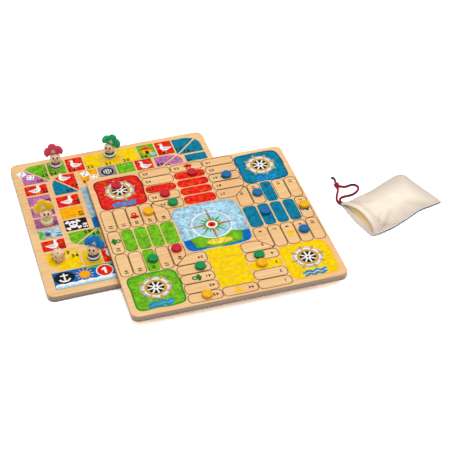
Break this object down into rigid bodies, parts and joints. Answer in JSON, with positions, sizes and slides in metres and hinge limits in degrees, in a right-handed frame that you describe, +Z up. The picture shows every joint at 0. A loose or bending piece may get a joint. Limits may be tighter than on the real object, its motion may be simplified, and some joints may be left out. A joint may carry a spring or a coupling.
{
  "type": "board game set",
  "caption": "Wooden goose and ludo game boards with rounded corners, turned pawns in hats, disc counters, a die and a cotton drawstring pouch, laid out for play.",
  "frame": {"origin": "centre of the goose board's underside, on the surface that the set lies on", "axes": "+X along the goose board's front edge towards the pouch, +Y towards its back edge, +Z up"},
  "size_m": [0.685, 0.4483, 0.0622],
  "materials": {
    "birch_board": "printed and matt varnished plywood",
    "paint_red": "gloss paint on turned wood",
    "paint_green": "gloss paint on turned wood",
    "paint_yellow": "gloss paint on turned wood",
    "paint_blue": "gloss paint on turned wood",
    "die_wood": "clear varnish",
    "cotton": "plain weave, unbleached",
    "cord_red": "braided"
  },
  "bodies": {
    "goose": {"goose_board": "birch_board"},
    "ludo": {"ludo_board": "birch_board"},
    "pawn_red": {"pawn_red_figure": "paint_red", "pawn_red_hat": "paint_red"},
    "pawn_green": {"pawn_green_figure": "paint_green", "pawn_green_hat": "paint_green"},
    "pawn_yellow": {"pawn_yellow_figure": "paint_yellow", "pawn_yellow_hat": "paint_yellow"},
    "pawn_blue": {"pawn_blue_figure": "paint_blue", "pawn_blue_hat": "paint_blue"},
    "counter_red_1": {"counter_red_1": "paint_red"},
    "counter_red_2": {"counter_red_2": "paint_red"},
    "counter_red_3": {"counter_red_3": "paint_red"},
    "counter_red_4": {"counter_red_4": "paint_red"},
    "counter_green_1": {"counter_green_1": "paint_green"},
    "counter_green_2": {"counter_green_2": "paint_green"},
    "counter_green_3": {"counter_green_3": "paint_green"},
    "counter_green_4": {"counter_green_4": "paint_green"},
    "counter_yellow_1": {"counter_yellow_1": "paint_yellow"},
    "counter_yellow_2": {"counter_yellow_2": "paint_yellow"},
    "counter_yellow_3": {"counter_yellow_3": "paint_yellow"},
    "counter_yellow_4": {"counter_yellow_4": "paint_yellow"},
    "counter_blue_1": {"counter_blue_1": "paint_blue"},
    "counter_blue_2": {"counter_blue_2": "paint_blue"},
    "counter_blue_3": {"counter_blue_3": "paint_blue"},
    "counter_blue_4": {"counter_blue_4": "paint_blue"},
    "die": {"die": "die_wood"},
    "pouch": {"bag_lower_panel": "cotton", "bag_upper_panel": "cotton", "drawstring_loop": "cord_red", "drawstring_short_run": "cord_red", "drawstring_knot": "cord_red", "drawstring_tail": "cord_red"}
  },
  "joints": [
    {"name": "ludo_board_lift", "type": "slide", "parent": "goose", "child": "ludo", "axis": [0, 0, 1], "range_m": [0, 0.08]},
    {"name": "pawn_red_lift", "type": "slide", "parent": "goose", "child": "pawn_red", "axis": [0, 0, 1], "range_m": [0, 0.06]},
    {"name": "pawn_green_lift", "type": "slide", "parent": "goose", "child": "pawn_green", "axis": [0, 0, 1], "range_m": [0, 0.06]},
    {"name": "pawn_yellow_lift", "type": "slide", "parent": "goose", "child": "pawn_yellow", "axis": [0, 0, 1], "range_m": [0, 0.06]},
    {"name": "pawn_blue_lift", "type": "slide", "parent": "goose", "child": "pawn_blue", "axis": [0, 0, 1], "range_m": [0, 0.06]},
    {"name": "counter_red_1_lift", "type": "slide", "parent": "ludo", "child": "counter_red_1", "axis": [0, 0, 1], "range_m": [0, 0.05]},
    {"name": "counter_red_2_lift", "type": "slide", "parent": "ludo", "child": "counter_red_2", "axis": [0, 0, 1], "range_m": [0, 0.05]},
    {"name": "counter_red_3_lift", "type": "slide", "parent": "ludo", "child": "counter_red_3", "axis": [0, 0, 1], "range_m": [0, 0.05]},
    {"name": "counter_red_4_lift", "type": "slide", "parent": "ludo", "child": "counter_red_4", "axis": [0, 0, 1], "range_m": [0, 0.05]},
    {"name": "counter_green_1_lift", "type": "slide", "parent": "ludo", "child": "counter_green_1", "axis": [0, 0, 1], "range_m": [0, 0.05]},
    {"name": "counter_green_2_lift", "type": "slide", "parent": "ludo", "child": "counter_green_2", "axis": [0, 0, 1], "range_m": [0, 0.05]},
    {"name": "counter_green_3_lift", "type": "slide", "parent": "ludo", "child": "counter_green_3", "axis": [0, 0, 1], "range_m": [0, 0.05]},
    {"name": "counter_green_4_lift", "type": "slide", "parent": "ludo", "child": "counter_green_4", "axis": [0, 0, 1], "range_m": [0, 0.05]},
    {"name": "counter_yellow_1_lift", "type": "slide", "parent": "ludo", "child": "counter_yellow_1", "axis": [0, 0, 1], "range_m": [0, 0.05]},
    {"name": "counter_yellow_2_lift", "type": "slide", "parent": "ludo", "child": "counter_yellow_2", "axis": [0, 0, 1], "range_m": [0, 0.05]},
    {"name": "counter_yellow_3_lift", "type": "slide", "parent": "ludo", "child": "counter_yellow_3", "axis": [0, 0, 1], "range_m": [0, 0.05]},
    {"name": "counter_yellow_4_lift", "type": "slide", "parent": "ludo", "child": "counter_yellow_4", "axis": [0, 0, 1], "range_m": [0, 0.05]},
    {"name": "counter_blue_1_lift", "type": "slide", "parent": "ludo", "child": "counter_blue_1", "axis": [0, 0, 1], "range_m": [0, 0.05]},
    {"name": "counter_blue_2_lift", "type": "slide", "parent": "ludo", "child": "counter_blue_2", "axis": [0, 0, 1], "range_m": [0, 0.05]},
    {"name": "counter_blue_3_lift", "type": "slide", "parent": "ludo", "child": "counter_blue_3", "axis": [0, 0, 1], "range_m": [0, 0.05]},
    {"name": "counter_blue_4_lift", "type": "slide", "parent": "ludo", "child": "counter_blue_4", "axis": [0, 0, 1], "range_m": [0, 0.05]},
    {"name": "die_lift", "type": "slide", "parent": "goose", "child": "die", "axis": [0, 0, 1], "range_m": [0, 0.05]},
    {"name": "pouch_lift", "type": "slide", "parent": "goose", "child": "pouch", "axis": [0, 0, 1], "range_m": [0, 0.08]}
  ]
}
